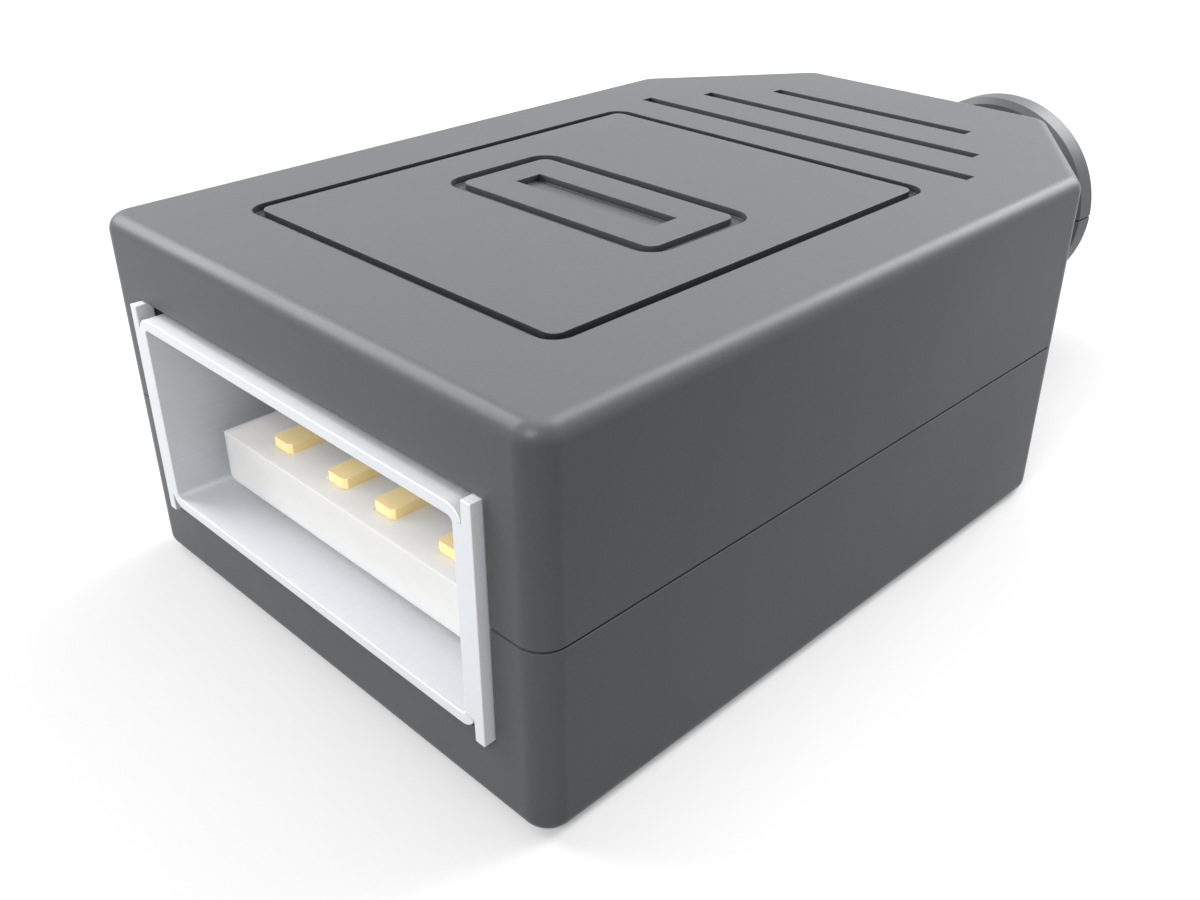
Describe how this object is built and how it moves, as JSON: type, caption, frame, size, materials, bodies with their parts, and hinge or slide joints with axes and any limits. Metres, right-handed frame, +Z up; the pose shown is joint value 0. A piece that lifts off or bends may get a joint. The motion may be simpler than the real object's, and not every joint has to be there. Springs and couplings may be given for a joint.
{
  "type": "usb socket",
  "caption": "In-line female cable socket: a folded metal mouth with a contact tongue in a two-half plastic housing with grip slots, tapered rear corners and a round cable collar.",
  "frame": {"origin": "middle of the overall length and width, on the flat face that the housing rests on", "axes": "+Z up, +Y along the cable's way out, so the mouth faces -Y; +X to the right seen from the mouth"},
  "size_m": [0.0168, 0.0332, 0.0103],
  "materials": {
    "housing_plastic": "fine matt moulded grey plastic",
    "plated_sheet": "bright nickel-plated sheet",
    "insulator_plastic": "satin white moulded plastic",
    "contact_plating": "gold-plated"
  },
  "bodies": {
    "root": {"upper_housing": "housing_plastic", "lower_housing": "housing_plastic", "socket_shell": "plated_sheet", "insulator": "insulator_plastic", "outer_left_contact": "contact_plating", "inner_left_contact": "contact_plating", "inner_right_contact": "contact_plating", "outer_right_contact": "contact_plating"}
  },
  "joints": []
}
